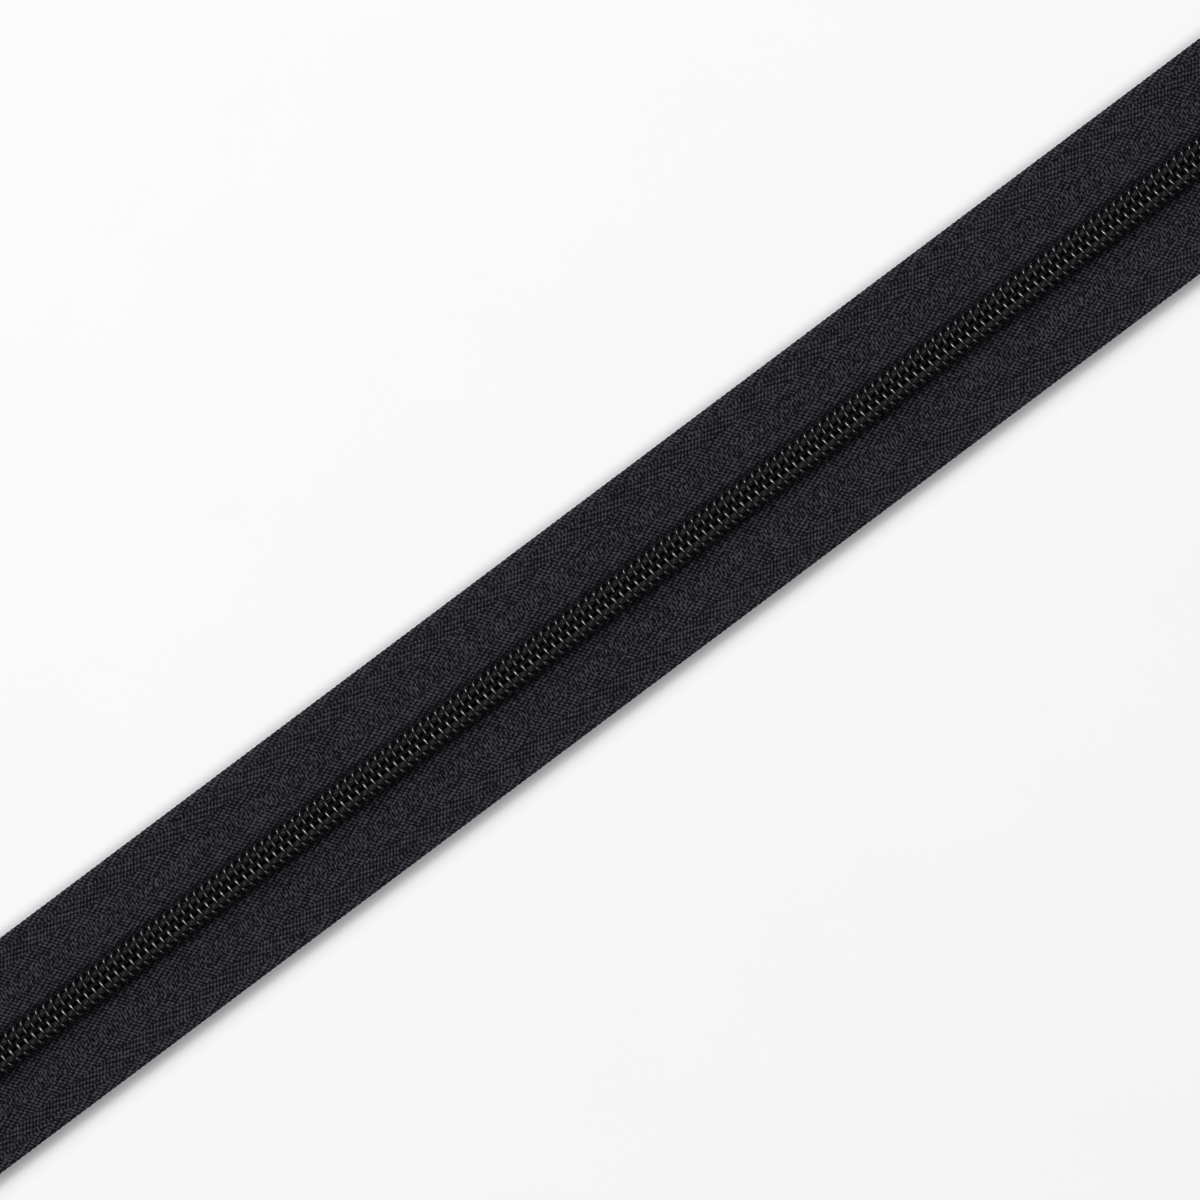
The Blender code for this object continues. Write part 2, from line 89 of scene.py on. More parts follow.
def spread(x):
    meeting = chain["sliderFoot"] + chain["wedgeLead"]
    top = parting(x - meeting, chain["topSpread"], chain["topRun"])
    return top + parting(chain["stopFoot"] - x, chain["tailSpread"], chain["tailRun"])


def onStringer(side, x, v, z):
    # point at distance v from the centre line of a closed chain, moved out where the stringers part
    return np.stack(np.broadcast_arrays(x, side * (spread(x) + v), z), axis=-1)


def coilStations(step):
    count = int((chain["coilEnd"] - chain["coilStart"]) / step)
    return np.linspace(chain["coilStart"], chain["coilEnd"], count)


def smooth(value, low, high):
    share = np.clip((value - low) / (high - low), 0.0, 1.0)
    return share * share * (3 - 2 * share)


def ridge(value, line, width):
    # bell curve, 1 on the line
    return np.exp(-(((value - line) / width) ** 2))


# Mesh helpers


def outward(points, faces):
    # the signed volume of the fans over all faces tells whether the skin is inside out
    first = points[faces[:, 0]]
    volume = 0.0
    for i in range(1, faces.shape[1] - 1):
        volume += np.sum(first * np.cross(points[faces[:, i]], points[faces[:, i + 1]]))
    return volume > 0


def skin(name, rings, uv=None):
    # closed rings of points joined ring to ring, each end closed by a fan round its middle
    count, around = rings.shape[:2]
    grid = np.arange(count * around).reshape(count, around)
    ahead = np.roll(grid, -1, axis=1)
    quads = np.stack([grid[:-1], ahead[:-1], ahead[1:], grid[1:]], axis=-1).reshape(-1, 4)
    ends = count * around + np.arange(2)
    capA = np.stack([ahead[0], grid[0], np.full(around, ends[0])], axis=-1)
    capB = np.stack([grid[-1], ahead[-1], np.full(around, ends[1])], axis=-1)
    points = np.concatenate([rings.reshape(-1, 3), rings[[0, -1]].mean(axis=1)])
    caps = np.concatenate([capA, capB])
    if not outward(points, quads):
        quads = quads[:, ::-1]
        caps = caps[:, ::-1]
    mesh = bpy.data.meshes.new(name)
    mesh.from_pydata((points * mm).tolist(), [], quads.tolist() + caps.tolist())
    if uv is not None:
        uv = np.concatenate([uv.reshape(-1, 2), uv[[0, -1]].mean(axis=1)])
        corners = np.zeros(len(mesh.loops), np.int32)
        mesh.loops.foreach_get("vertex_index", corners)
        layer = mesh.uv_layers.new(name="cloth")
        layer.data.foreach_set("uv", uv[corners].astype(np.float32).ravel())
    mesh.shade_smooth()
    return mesh


def rounded(value, power):
    # cosine or sine bent towards a superellipse of that power
    return np.sign(value) * np.abs(value) ** (2 / power)


def tube(path, reference, wide, tall, around, power=2.0):
    # superellipse carried along a path, its wide axis kept as near to the reference as the path's run allows
    run = np.gradient(path, axis=0)
    run /= np.linalg.norm(run, axis=1)[:, None]
    across = reference - (run @ reference)[:, None] * run
    across /= np.linalg.norm(across, axis=1)[:, None]
    other = np.cross(run, across)
    turn = np.linspace(0, tau, around, endpoint=False)[None, :]
    power = np.broadcast_to(power, len(path))[:, None]
    wideRing = (np.broadcast_to(wide, len(path))[:, None] * rounded(np.cos(turn), power))[:, :, None]
    tallRing = (np.broadcast_to(tall, len(path))[:, None] * rounded(np.sin(turn), power))[:, :, None]
    return path[:, None, :] + across[:, None, :] * wideRing + other[:, None, :] * tallRing


def addPiece(name, mesh, finish, body, node):
    mesh.materials.append(finish)
    piece = bpy.data.objects.new(name, mesh)
    bpy.context.scene.collection.objects.link(piece)
    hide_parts(node)
    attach(piece, body)
    return piece


def addStringerPiece(name, mesh, finish, node):
    # a piece on the chain body, with a mesh of its own
    piece = addPiece(name, mesh, finish, "chain", node)
    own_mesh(piece)
    return piece


# Node helpers


def feed(tree, socket, value):
    # a plain value is set on the socket, and another node's output is linked to it
    if isinstance(value, (tuple, float, int)):
        socket.default_value = value
    else:
        tree.links.new(value, socket)


def calc(tree, operation, *values):
    node = tree.nodes.new("ShaderNodeMath")
    node.operation = operation
    for socket, value in zip(node.inputs, values):
        feed(tree, socket, value)
    return node.outputs[0]


def ramp(tree, value, low, high, start=0.0, end=1.0):
    node = tree.nodes.new("ShaderNodeMapRange")
    node.interpolation_type = "SMOOTHSTEP"
    tree.links.new(value, node.inputs["Value"])
    for key, number in (("From Min", low), ("From Max", high), ("To Min", start), ("To Max", end)):
        node.inputs[key].default_value = number
    return node.outputs["Result"]


def wave(tree, u, e, perU, perE, shift=0.0):
    # cosine of a plane wave with so many cycles a millimetre along and across
    across = calc(tree, "MULTIPLY_ADD", e, perE * tau, shift * tau)
    return calc(tree, "COSINE", calc(tree, "MULTIPLY_ADD", u, perU * tau, across))


def noise(tree, vector, scale, detail=2.0, roughness=0.5):
    node = tree.nodes.new("ShaderNodeTexNoise")
    node.inputs["Scale"].default_value = scale
    node.inputs["Detail"].default_value = detail
    node.inputs["Roughness"].default_value = roughness
    tree.links.new(vector, node.inputs["Vector"])
    return node.outputs["Fac"]


def stretch(tree, vector, scale, turn=0.0):
    node = tree.nodes.new("ShaderNodeMapping")
    node.inputs["Scale"].default_value = scale
    node.inputs["Rotation"].default_value = (0, 0, turn)
    tree.links.new(vector, node.inputs["Vector"])
    return node.outputs["Vector"]


def separate(tree, vector):
    node = tree.nodes.new("ShaderNodeSeparateXYZ")
    tree.links.new(vector, node.inputs[0])
    return node.outputs


def mixColour(tree, share, first, second):
    node = tree.nodes.new("ShaderNodeMix")
    node.data_type = "RGBA"
    for key, value in (("Factor", share), ("A", first), ("B", second)):
        feed(tree, node.inputs[key], value)
    return node.outputs["Result"]


def newGroup(name, ins, outs):
    group = bpy.data.node_groups.new(name, "ShaderNodeTree")
    for label, kind in ins:
        group.interface.new_socket(label, in_out="INPUT", socket_type=kind)
    for label, kind in outs:
        group.interface.new_socket(label, in_out="OUTPUT", socket_type=kind)
    return group, group.nodes.new("NodeGroupInput").outputs, group.nodes.new("NodeGroupOutput").inputs


def useGroup(tree, group, vector):
    node = tree.nodes.new("ShaderNodeGroup")
    node.node_tree = group
    tree.links.new(vector, node.inputs["Vector"])
    return node


def newMaterial(name, values):
    finish = bpy.data.materials.new(name)
    finish.use_nodes = True
    shader = finish.node_tree.nodes["Principled BSDF"]
    for key, value in values.items():
        shader.inputs[key].default_value = value
    return finish, finish.node_tree, shader


def bump(tree, shader, height, strength, distance):
    node = tree.nodes.new("ShaderNodeBump")
    node.inputs["Strength"].default_value = strength
    node.inputs["Distance"].default_value = distance * mm
    tree.links.new(height, node.inputs["Height"])
    tree.links.new(node.outputs["Normal"], shader.inputs["Normal"])


def coordinates(tree, kind):
    return tree.nodes.new("ShaderNodeTexCoord").outputs[kind]


# Woven tape: bands at distances from the outer edge in millimetres, waves in cycles a millimetre
weave = {
    "pick": 0.47,  # a twill repeat of four picks along the tape
    "rise": 1.22,  # the same across it
    "twill": ((1, 1.0, 0.40), (3, -0.86, 0.46), (5, 1.15, 0.14)),  # picks, rises and share of each wave
    "herringbone": (2.7, 4.75),
    "steep": (1.45, 2.7),
    "steepLean": 0.14,
    "steepShare": 0.34,
    "steepTwill": 0.55,
    "ribBand": (7.15, 9.75),
    "rib": 0.94,
    "ribLean": 0.03,
    "ribRows": 0.69,
    "ribRowShare": 0.50,
    "ribRowBase": 0.14,
    "dotLean": 0.24,
    "dotShare": (0.10, 0.62),
    "crossRib": 0.6,  # of the ribs' own count
    "crossLean": 1.5,
    "crossShare": 0.20,
    "gutter": 0.35,
    "gutterOffset": 0.15,
    "selvedge": (0.9, 1.9),
    "coilSide": (12.1, 12.8),  # painted shade: the tape is darker from here on, under the coil's heels
    "sway": 0.24,  # how far the yarns wander
    "shiver": 0.26,
}


def wander(group, vector, amount, scale, detail):
    # offset of the yarns, up to half the amount either way
    return calc(group, "MULTIPLY_ADD", noise(group, vector, scale, detail), amount, -amount / 2)


def weaveGroup():
    # floats of a broken twill: crossing plane waves in bands, and between two of them ribs with dotted edges
    group, ins, outs = newGroup(
        "wovenTape",
        [("Vector", "NodeSocketVector")],
        [(label, "NodeSocketFloat") for label in ("Height", "Fibre", "Float", "Selvedge", "CoilShade")],
    )
    vector = ins["Vector"]
    place = separate(group, vector)
    sway = wander(group, vector, weave["sway"], 0.8, 2.0)
    shiver = wander(group, vector, weave["shiver"], 2.3, 1.0)
    u = calc(group, "ADD", calc(group, "ADD", place["X"], sway), shiver)
    e = calc(group, "MULTIPLY_ADD", shiver, -0.5, calc(group, "MULTIPLY_ADD", sway, 0.35, place["Y"]))

    def twill(lean):
        floats = 0.0
        for picks, rises, share in weave["twill"]:
            crossing = wave(group, u, e, picks * weave["pick"], lean * rises * weave["rise"])
            floats = calc(group, "MULTIPLY_ADD", crossing, share, floats)
        return floats

    def steep():
        upright = wave(group, u, e, 3 * weave["pick"], weave["steepLean"])
        upright = calc(group, "MULTIPLY", upright, weave["steepShare"])
        return calc(group, "MULTIPLY_ADD", twill(-1), weave["steepTwill"], upright)

    def ribbed():
        shift = -weave["ribRows"] * weave["ribBand"][0]
        rows = wave(group, u, e, 0.0, weave["ribRows"], shift)
        rows = calc(group, "MULTIPLY_ADD", rows, weave["ribRowShare"], weave["ribRowBase"])
        ribs = calc(group, "MULTIPLY", wave(group, u, e, weave["rib"], weave["ribLean"]), rows)
        broken = ramp(group, noise(group, vector, 1.7, 1.0), 0.32, 0.62, *weave["dotShare"])
        dots = wave(group, u, e, 2 * weave["rib"], weave["dotLean"])
        ribs = calc(group, "MULTIPLY_ADD", dots, broken, ribs)
        cross = wave(group, u, e, weave["crossRib"] * weave["rib"], weave["crossLean"])
        return calc(group, "MULTIPLY_ADD", cross, weave["crossShare"], ribs)

    def within(low, high, soft=0.12):
        enter = ramp(group, e, low - soft, low + soft)
        leave = ramp(group, e, high - soft, high + soft, 1.0, 0.0)
        return calc(group, "MULTIPLY", enter, leave)

    def layer(under, over, band):
        mask = within(*band)
        rest = calc(group, "MULTIPLY", under, calc(group, "SUBTRACT", 1.0, mask))
        return calc(group, "MULTIPLY_ADD", over, mask, rest)

    height = layer(twill(1), twill(-1), weave["herringbone"])
    height = layer(height, steep(), weave["steep"])
    height = layer(height, ribbed(), weave["ribBand"])
    # shallow gutters between the bands
    low, high = weave["ribBand"]
    for edge in (low - weave["gutterOffset"], high + weave["gutterOffset"], weave["herringbone"][1]):
        gutter = within(edge - 0.05, edge + 0.05, 0.1)
        height = calc(group, "MULTIPLY_ADD", gutter, -weave["gutter"], height)
    height = calc(group, "MULTIPLY_ADD", height, 0.5, 0.5)
    fibre = noise(group, stretch(group, vector, (1.6, 9.0, 1.0), 0.5), 1.0, 3.0, 0.65)
    cells = group.nodes.new("ShaderNodeTexVoronoi")
    cells.inputs["Scale"].default_value = 1.0
    group.links.new(stretch(group, vector, (1.5, 2.9, 1.0)), cells.inputs["Vector"])
    tone = group.nodes.new("ShaderNodeSeparateColor")
    group.links.new(cells.outputs["Color"], tone.inputs[0])
    group.links.new(height, outs["Height"])
    group.links.new(fibre, outs["Fibre"])
    group.links.new(tone.outputs[0], outs["Float"])
    group.links.new(ramp(group, e, *weave["selvedge"], 1.0, 0.0), outs["Selvedge"])
    # painted shade mask: where the tape lies beside and under the coil's heels
    group.links.new(ramp(group, e, *weave["coilSide"]), outs["CoilShade"])
    return group


cloth = {
    # dark is the painted shade in the weave's hollows, pale the painted highlight on its raised floats
    "dark": (0.0016, 0.0014, 0.0021, 1),
    "pale": (0.064, 0.060, 0.077, 1),
    "warm": (0.012, 0.009, 0.010, 1),
    "shaded": (0.002, 0.0018, 0.002, 1),
    "sealed": (0.006, 0.0055, 0.006, 1),
    "roughness": 0.72,
    "sealedRoughness": 0.38,
    "sealedRun": 0.5,  # millimetres from the cut end
}


def tapeMaterial():
    finish, tree, shader = newMaterial("black_woven_polyester", {"Specular IOR Level": 0.06})
    here = coordinates(tree, "UV")
    woven = useGroup(tree, weaveGroup(), here).outputs
    # painted light: raised floats are pale as painted highlights, hollows dark as painted shade; fibres,
    # blotches and whole floats shift the tone up or down
    paintedLightAndTone = calc(tree, "MULTIPLY_ADD", woven["Selvedge"], 0.06, woven["Height"])
    blotch = noise(tree, here, 2.4)
    for value, share in ((woven["Fibre"], 0.8), (blotch, 0.5), (woven["Float"], 0.34)):
        paintedLightAndTone = calc(tree, "MULTIPLY_ADD", calc(tree, "SUBTRACT", value, 0.5), share, paintedLightAndTone)
    colour = mixColour(tree, ramp(tree, paintedLightAndTone, 0.30, 1.05), cloth["dark"], cloth["pale"])
    warm = ramp(tree, noise(tree, here, 1.9, 3.0), 0.45, 0.70, 0.0, 0.30)
    colour = mixColour(tree, warm, colour, cloth["warm"])
    # painted shade: the tape beside and under the coil is darkened towards the shaded colour
    colour = mixColour(tree, calc(tree, "MULTIPLY", woven["CoilShade"], 0.6), colour, cloth["shaded"])
    # the cut ends are sealed by heat: smooth, dark and a little shiny
    fromMiddle = calc(tree, "ABSOLUTE", separate(tree, here)["X"])
    reach = calc(tree, "MULTIPLY_ADD", noise(tree, here, 1.2), 0.5, fromMiddle)
    sealed = ramp(tree, reach, chain["tapeEnd"] - cloth["sealedRun"], chain["tapeEnd"] + 0.05)
    colour = mixColour(tree, calc(tree, "MULTIPLY", sealed, 0.8), colour, cloth["sealed"])
    tree.links.new(colour, shader.inputs["Base Color"])
    roughness = ramp(tree, sealed, 0.0, 1.0, cloth["roughness"], cloth["sealedRoughness"])
    tree.links.new(roughness, shader.inputs["Roughness"])
    relief = calc(tree, "MULTIPLY_ADD", woven["Fibre"], 0.25, woven["Height"])
    relief = calc(tree, "MULTIPLY", relief, ramp(tree, sealed, 0.0, 1.0, 1.0, 0.35))
    bump(tree, shader, relief, 0.75, 0.10)
    return finish


tape = {
    "inner": 0.25,
    "outer": 16.0,
    "bottom": 1.48,
    "top": 2.03,
    "sink": 0.03,  # how far the middle of the relief lies inside the CAD faces
    "step": 0.266,  # along the tape, four steps a rib
    "across": 30,
    "ribPitch": 1 / weave["rib"],
    "ribHeight": 0.045,
    "bandSoft": 0.2,
    "groove": 0.05,  # beside the ribbed band
    "grooveWidth": 0.22,
    "roll": 0.05,  # the selvedge's swelling
    "rollLine": 0.55,
    "rollWidth": 0.45,
    "outerDrop": 0.16,  # how the faces round off to the two edges
    "outerReach": 0.32,
    "innerDrop": 0.12,
    "innerReach": 0.35,
    "edgeBulge": 0.06,
    "scallop": 0.05,
    "scallopReach": 1.2,
    "backShare": 0.6,
}


def tapeRings(side):
    # rings round the tape's flat section; the top rises in ribs and a rolled selvedge, the edge is scalloped
    count = int(2 * chain["tapeEnd"] / tape["step"])
    x = np.linspace(-chain["tapeEnd"], chain["tapeEnd"], count)[:, None]
    width = tape["outer"] - tape["inner"]
    e = (1 - np.linspace(0, 1, tape["across"])[None, :]) * width
    u = side * x
    rib = np.cos(tau * u / tape["ribPitch"])
    v = tape["outer"] - e + tape["scallop"] * rib * smooth(e, tape["scallopReach"], 0.0)
    low, high = weave["ribBand"]
    soft = tape["bandSoft"]
    inBand = smooth(e, low - soft, low + soft) * smooth(e, high + soft, high - soft)
    grooves = ridge(e, low, tape["grooveWidth"]) + ridge(e, high, tape["grooveWidth"])
    relief = tape["ribHeight"] * rib * inBand - tape["groove"] * grooves
    relief = relief + tape["roll"] * ridge(e, tape["rollLine"], tape["rollWidth"])
    relief = relief - tape["outerDrop"] * smooth(e, tape["outerReach"], 0.0)
    relief = relief - tape["innerDrop"] * smooth(width - e, tape["innerReach"], 0.0)
    top = onStringer(side, x, v, tape["top"] - tape["sink"] + relief)
    bottom = onStringer(side, x, v, tape["bottom"] + tape["sink"] - relief * tape["backShare"])
    middle = np.full_like(x, (tape["top"] + tape["bottom"]) / 2)
    outerEdge = onStringer(side, x, v[:, -1:] + tape["edgeBulge"], middle)
    innerEdge = onStringer(side, x, v[:, :1] - tape["edgeBulge"], middle)
    rings = np.concatenate([top, outerEdge, bottom[:, ::-1], innerEdge], axis=1)
    row = np.broadcast_to(e, v.shape)
    eAround = np.concatenate([row, row[:, -1:], row[:, ::-1], row[:, :1]], axis=1)
    return rings, np.stack([np.broadcast_to(u, eAround.shape), eAround], axis=-1)


tapeFinish = tapeMaterial()
for label, side in sides.items():
    name = f"{label}_woven_tape"
    rings, uv = tapeRings(side)
    piece = addStringerPiece(name, skin(name, rings, uv), tapeFinish, f"{label}_tape")
print("tapes woven")


# Nylon coil: one wire, a loop every pitch
coil = {
    "pitch": 1.6,
    "wire": 0.66,
    "head": -0.25,  # centre line of the wire at the head and the heel, from the chain's centre line
    "heel": 2.60,
    "middle": 3.27,
    "rise": 0.87,
    "crest": 1.65,  # where an upper leg is highest
    "headPower": 2.0,
    "headDrop": 0.52,  # the head's tip hangs this far below the coil's middle
    "heelPower": 2.3,
    "dwell": 0.92,  # 1 keeps the wire square to the chain at the head, 0 lets it advance evenly
    "reach": {side: nodeBox(f"{label}_coil") for label, side in sides.items()},
    "swell": 0.10,  # added to half the wire's width at the head
    "thin": 0.03,  # taken from half its height there
    "headSpan": 0.115,  # share of a loop
    "section": 2.3,  # the wire's superellipse, and how much squarer it is pressed at the head
    "pressed": 1.5,
    "pressedSpan": 0.2,
    "slip": 0.012,  # unevenness of the loops along the chain
    "waver": 0.010,  # the same across it and in height
    "seed": 11,
    "samples": 30,
    "crowding": 0.45,  # gathers the samples on the upper leg
    "around": 14,
}


def loopLine(share):
    # superellipse run from head over the top to the heel and back below, advancing most at the heel
    turn = math.pi - tau * share
    c, s = np.cos(turn), np.sin(turn)
    power = np.where(c < 0, coil["headPower"], coil["heelPower"])
    half = np.where(c < 0, coil["crest"] - coil["head"], coil["heel"] - coil["crest"])
    v = coil["crest"] + half * rounded(c, power)
    rise = rounded(s, power)
    drop = np.where(c < 0, coil["headDrop"] * (1 - np.abs(rise)), 0.0)
    z = coil["middle"] + coil["rise"] * rise - drop
    advance = coil["pitch"] * (share - coil["dwell"] * np.sin(tau * share) / tau)
    return advance, v, z


def loopPlaces(side):
    # first head and number of loops, from the reach of the CAD coil along the chain
    low, high = coil["reach"][side]
    start = low[0] + coil["wire"] / 2 + coil["swell"]
    return start, round((high[0] - start) / coil["pitch"])


def coilRings(side):
    start, count = loopPlaces(side)
    share = (np.arange(count * coil["samples"]) + 0.5) / coil["samples"]
    loop = np.floor(share)
    share = share - loop
    share = share - coil["crowding"] * (1 - np.cos(tau * share)) / tau
    advance, v, z = loopLine(share)
    uneven = np.random.default_rng(coil["seed"] + side).normal(0, 1, (3, count))[:, loop.astype(int)]
    x = start + loop * coil["pitch"] + advance + coil["slip"] * uneven[0]
    z = z + coil["waver"] * uneven[1] * (z > coil["middle"])
    path = onStringer(side, x, v + coil["waver"] * uneven[2], z)
    fromHead = np.minimum(share, 1 - share)
    atHead = ridge(fromHead, 0.0, coil["headSpan"])
    wide = coil["wire"] / 2 + coil["swell"] * atHead
    tall = coil["wire"] / 2 - coil["thin"] * atHead
    power = coil["section"] + coil["pressed"] * ridge(fromHead, 0.0, coil["pressedSpan"])
    return tube(path, alongX, wide, tall, coil["around"], power)


nylon = {
    "dark": (0.0044, 0.0041, 0.0058, 1),
    "pale": (0.0100, 0.0094, 0.0124, 1),
    "roughness": (0.13, 0.28),
}


def coilMaterial():
    finish, tree, shader = newMaterial("black_nylon_wire", {"IOR": 1.53, "Specular IOR Level": 0.5})
    here = coordinates(tree, "Object")
    haze = noise(tree, here, 900.0, 3.0, 0.6)
    rubbed = ramp(tree, noise(tree, stretch(tree, here, (1.0, 0.25, 1.0)), 2600.0), 0.35, 0.75)
    colour = mixColour(tree, ramp(tree, haze, 0.35, 0.7), nylon["dark"], nylon["pale"])
    tree.links.new(colour, shader.inputs["Base Color"])
    dull = calc(tree, "MULTIPLY_ADD", rubbed, 0.5, haze)
    tree.links.new(ramp(tree, dull, 0.3, 1.0, *nylon["roughness"]), shader.inputs["Roughness"])
    bump(tree, shader, haze, 0.12, 0.03)
    return finish


coilFinish = coilMaterial()
for label, side in sides.items():
    name = f"{label}_nylon_coil"
    addStringerPiece(name, skin(name, coilRings(side)), coilFinish, f"{label}_coil")
print("coils wound")


# Filler cord inside each coil: three plies twisted together
cord = {
    "line": 1.50,
    "middle": 3.145,
    "wide": 0.61,
    "tall": 0.295,
    "plies": 3,
    "lay": 2.6,
    "core": 0.86,  # share of the radius between two plies
    "step": 0.25,
    "around": 24,
    "dark": (0.0024, 0.0021, 0.0024, 1),
    "pale": (0.024, 0.0215, 0.024, 1),
    "twist": 1.4,
}


def cordRings(side):
    # ellipse whose radius swells at each ply, turned along the length
    x = coilStations(cord["step"])[:, None]
    turn = np.linspace(0, tau, cord["around"], endpoint=False)[None, :]
    ply = np.abs(np.cos(0.5 * (cord["plies"] * turn - tau * x / cord["lay"])))
    swell = cord["core"] + (1 - cord["core"]) * ply
    v = cord["line"] + cord["wide"] * swell * np.cos(turn)
    z = cord["middle"] + cord["tall"] * swell * np.sin(turn)
    return onStringer(side, x, v, z)


def yarnGroup():
    # filaments twisted round a yarn that runs along the chain, with fuzz
    filaments = 5500  # a metre
    group, ins, outs = newGroup(
        "twistedYarn",
        [("Vector", "NodeSocketVector"), ("Twist", "NodeSocketFloat")],
        [("Height", "NodeSocketFloat"), ("Fuzz", "NodeSocketFloat")],
    )
    place = separate(group, ins["Vector"])
    slant = calc(group, "MULTIPLY_ADD", place["Y"], ins["Twist"], place["X"])
    strand = calc(group, "SINE", calc(group, "MULTIPLY", slant, tau * filaments))
    fuzz = noise(group, ins["Vector"], 5200.0, 3.0, 0.7)
    group.links.new(calc(group, "MULTIPLY_ADD", strand, 0.3, fuzz), outs["Height"])
    group.links.new(fuzz, outs["Fuzz"])
    return group


yarn = yarnGroup()


def yarnMaterial(name, look):
    finish, tree, shader = newMaterial(name, {"Roughness": 0.85, "Specular IOR Level": 0.08})
    node = useGroup(tree, yarn, coordinates(tree, "Object"))
    node.inputs["Twist"].default_value = look["twist"]
    raised = calc(tree, "MULTIPLY_ADD", node.outputs["Height"], 0.5, node.outputs["Fuzz"])
    colour = mixColour(tree, ramp(tree, raised, 0.4, 1.0), look["dark"], look["pale"])
    tree.links.new(colour, shader.inputs["Base Color"])
    bump(tree, shader, node.outputs["Height"], 0.6, 0.05)
    return finish


cordFinish = yarnMaterial("core_yarn", cord)
for label, side in sides.items():
    name = f"{label}_twisted_cord"
    addStringerPiece(name, skin(name, cordRings(side)), cordFinish, f"{label}_core_cord")
print("core cords laid")


# Seam: a needle thread over the cord inside the loops, and a looper thread in chain stitch under the tape
seam = {
    "line": 1.50,
    "step": 0.1,
    "dark": (0.0036, 0.0033, 0.0036, 1),
    "pale": (0.052, 0.047, 0.050, 1),
    "twist": 0.9,
}
needle = {
    "atLeg": 3.58,  # height of its middle under a leg
    "inGap": 3.48,
    "thin": 0.10,
    "full": 0.17,
    "flatShare": 0.5,  # half its height is this share of half its width, and a little more
    "flatLeast": 0.04,
    "sway": 0.12,
    "uneven": 0.03,
    "seed": 23,
    "around": 10,
}
looper = {
    "height": 1.36,
    "dip": 0.03,
    "waist": 0.06,
    "bow": 0.30,
    "lean": 0.7,  # under 1, the teardrop is widest before its middle
    "taper": 1.2,
    "wide": 0.12,
    "tall": 0.10,
    "around": 8,
}


def legAt(v):
    # advance along the chain of an upper leg where it passes a distance from the centre line
    share = np.linspace(0.0, 0.5, 400)
    advance, line, _ = loopLine(share)
    return float(np.interp(v, line, advance))


def needleRings(side):
    # thread that lies on the cord, thin under each leg, full and a little sunk in each gap
    x = coilStations(seam["step"])
    phase = (x - loopPlaces(side)[0] - legAt(seam["line"])) / coil["pitch"]
    onLeg = 0.5 + 0.5 * np.cos(tau * phase)
    stitch = np.floor(phase + 0.5).astype(int)
    stitch = stitch - stitch.min()
    uneven = np.random.default_rng(needle["seed"] + side).normal(0, 1, stitch.max() + 2)[stitch]
    z = needle["inGap"] + (needle["atLeg"] - needle["inGap"]) * onLeg
    v = seam["line"] + needle["sway"] * np.sin(tau * phase) + needle["uneven"] * uneven
    wide = needle["full"] + (needle["thin"] - needle["full"]) * onLeg
    tall = needle["flatShare"] * wide + needle["flatLeast"]
    return tube(onStringer(side, x, v, z), acrossY, wide, tall, needle["around"])


def looperStrand(side, hand):
    # one half of a chain of teardrop loops, each reaching into the next
    x = coilStations(seam["step"])
    phase = x / coil["pitch"]
    loop = phase - np.floor(phase)
    bow = looper["waist"] + looper["bow"] * np.sin(math.pi * loop ** looper["lean"]) ** looper["taper"]
    z = looper["height"] - looper["dip"] * np.cos(tau * phase)
    path = onStringer(side, x, seam["line"] + hand * bow, z)
    return tube(path, acrossY, looper["wide"], looper["tall"], looper["around"])


def joined(name, meshes):
    form = bmesh.new()
    for mesh in meshes:
        form.from_mesh(mesh)
    whole = bpy.data.meshes.new(name)
    form.to_mesh(whole)
    form.free()
    return whole


threadFinish = yarnMaterial("sewing_thread", seam)
for label, side in sides.items():
    name = f"{label}_needle_stitches"
    mesh = skin(name, needleRings(side))
    addStringerPiece(name, mesh, threadFinish, f"{label}_needle_thread")
    name = f"{label}_looper_chain"
    mesh = joined(name, [skin(name, looperStrand(side, hand)) for hand in (1, -1)])
    addStringerPiece(name, mesh, threadFinish, f"{label}_looper_thread")
print("seams sewn")


# Metal pieces: merged copies of the CAD shapes, sharp edges broken by a bevel that shows the rubbed finish
edges = {
    "merge": 1e-6,  # metres
    "flat": 0.05,  # degrees between faces that count as one
    "sharp": 32,  # degrees from which an outside edge is broken
    "topBand": 0.02,
    "topWeight": 1.0,
    "otherWeight": 0.35,
    "segments": 3,
    "flatWeight": 100,
}


def metalCopy(node, name):
    form = bmesh.new()
    form.from_mesh(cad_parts[node].data)
    bmesh.ops.remove_doubles(form, verts=form.verts, dist=edges["merge"])
    flat = math.radians(edges["flat"])
    bmesh.ops.dissolve_limit(form, angle_limit=flat, verts=form.verts, edges=form.edges)
    form.edges.ensure_lookup_table()
    heights = np.array([[vert.co.z for vert in edge.verts] for edge in form.edges])
    turn = np.array([edge.calc_face_angle_signed(0.0) for edge in form.edges])
    mesh = bpy.data.meshes.new(name)
    form.to_mesh(mesh)
    form.free()
    # the outline of the top, which a hand meets, is rounded most and inside corners stay sharp
    onTop = (heights > heights.max() - edges["topBand"] * mm).all(axis=1)
    weight = np.where(onTop, edges["topWeight"], edges["otherWeight"])
    weight = np.where(turn > math.radians(edges["sharp"]), weight, 0.0).astype(np.float32)
    mesh.attributes.new("bevel_weight_edge", "FLOAT", "EDGE").data.foreach_set("value", weight)
    mesh.shade_smooth()
    return mesh


def breakEdges(piece, width, worn):
    piece.data.materials.append(worn)
    bevel = piece.modifiers.new("broken_edges", "BEVEL")
    bevel.width = width * mm
    bevel.segments = edges["segments"]
    bevel.limit_method = "WEIGHT"
    bevel.material = 1
    bevel.use_clamp_overlap = True
    flat = piece.modifiers.new("flat_faces", "WEIGHTED_NORMAL")
    flat.mode = "FACE_AREA"
    flat.weight = edges["flatWeight"]


